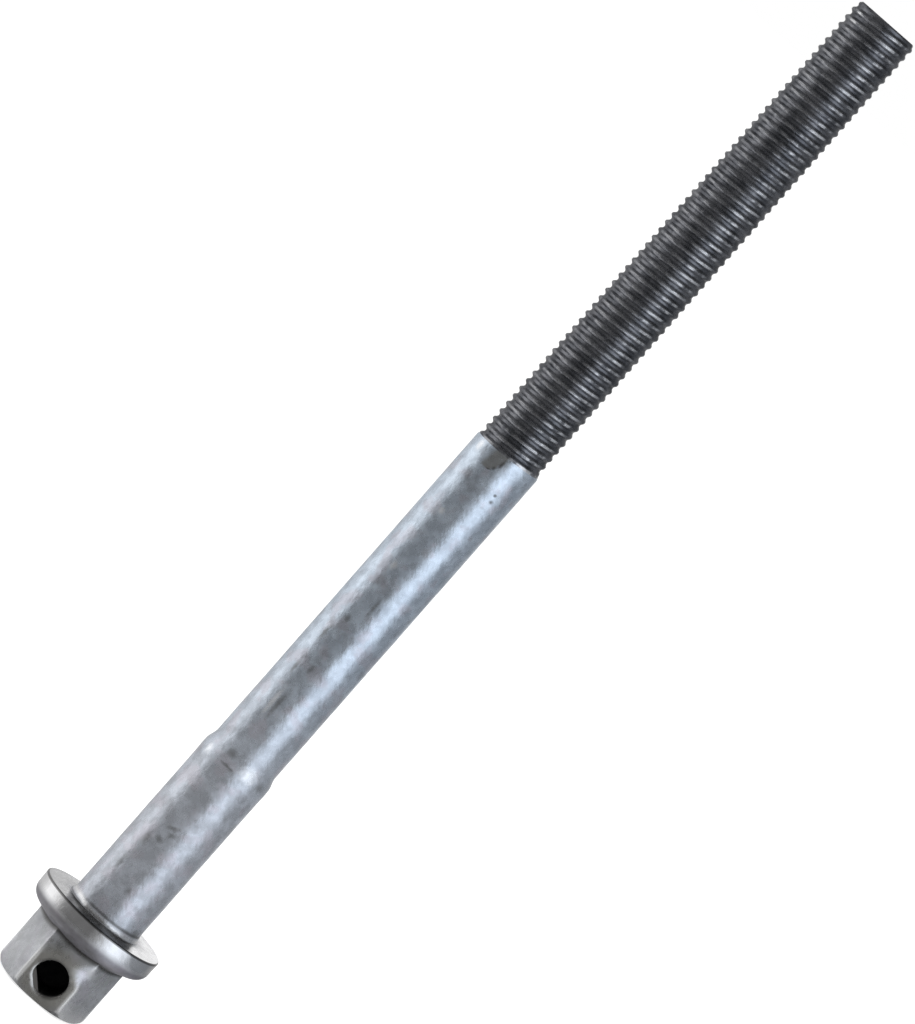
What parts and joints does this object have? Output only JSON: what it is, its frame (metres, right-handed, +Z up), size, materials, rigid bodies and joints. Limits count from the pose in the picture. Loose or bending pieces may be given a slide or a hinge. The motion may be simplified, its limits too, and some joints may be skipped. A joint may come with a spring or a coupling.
{
  "type": "cylinder head bolt",
  "caption": "Long hexagon bolt with a domed flange, a blind cross hole in one flat of the head, a stepped shank and a long rolled thread, for clamping an engine's cylinder head.",
  "frame": {"origin": "centre of the hexagon's free end face, on which the bolt stands", "axes": "+Z up along the bolt's axis, from the head to the threaded tip; the cross hole opens towards -Y"},
  "size_m": [0.0293, 0.0292, 0.2587],
  "materials": {
    "zinc_plated_steel": "bright zinc plating over forged steel, satin and faintly mottled, darker between the threads"
  },
  "bodies": {
    "root": {"head_bolt": "zinc_plated_steel"}
  },
  "joints": []
}
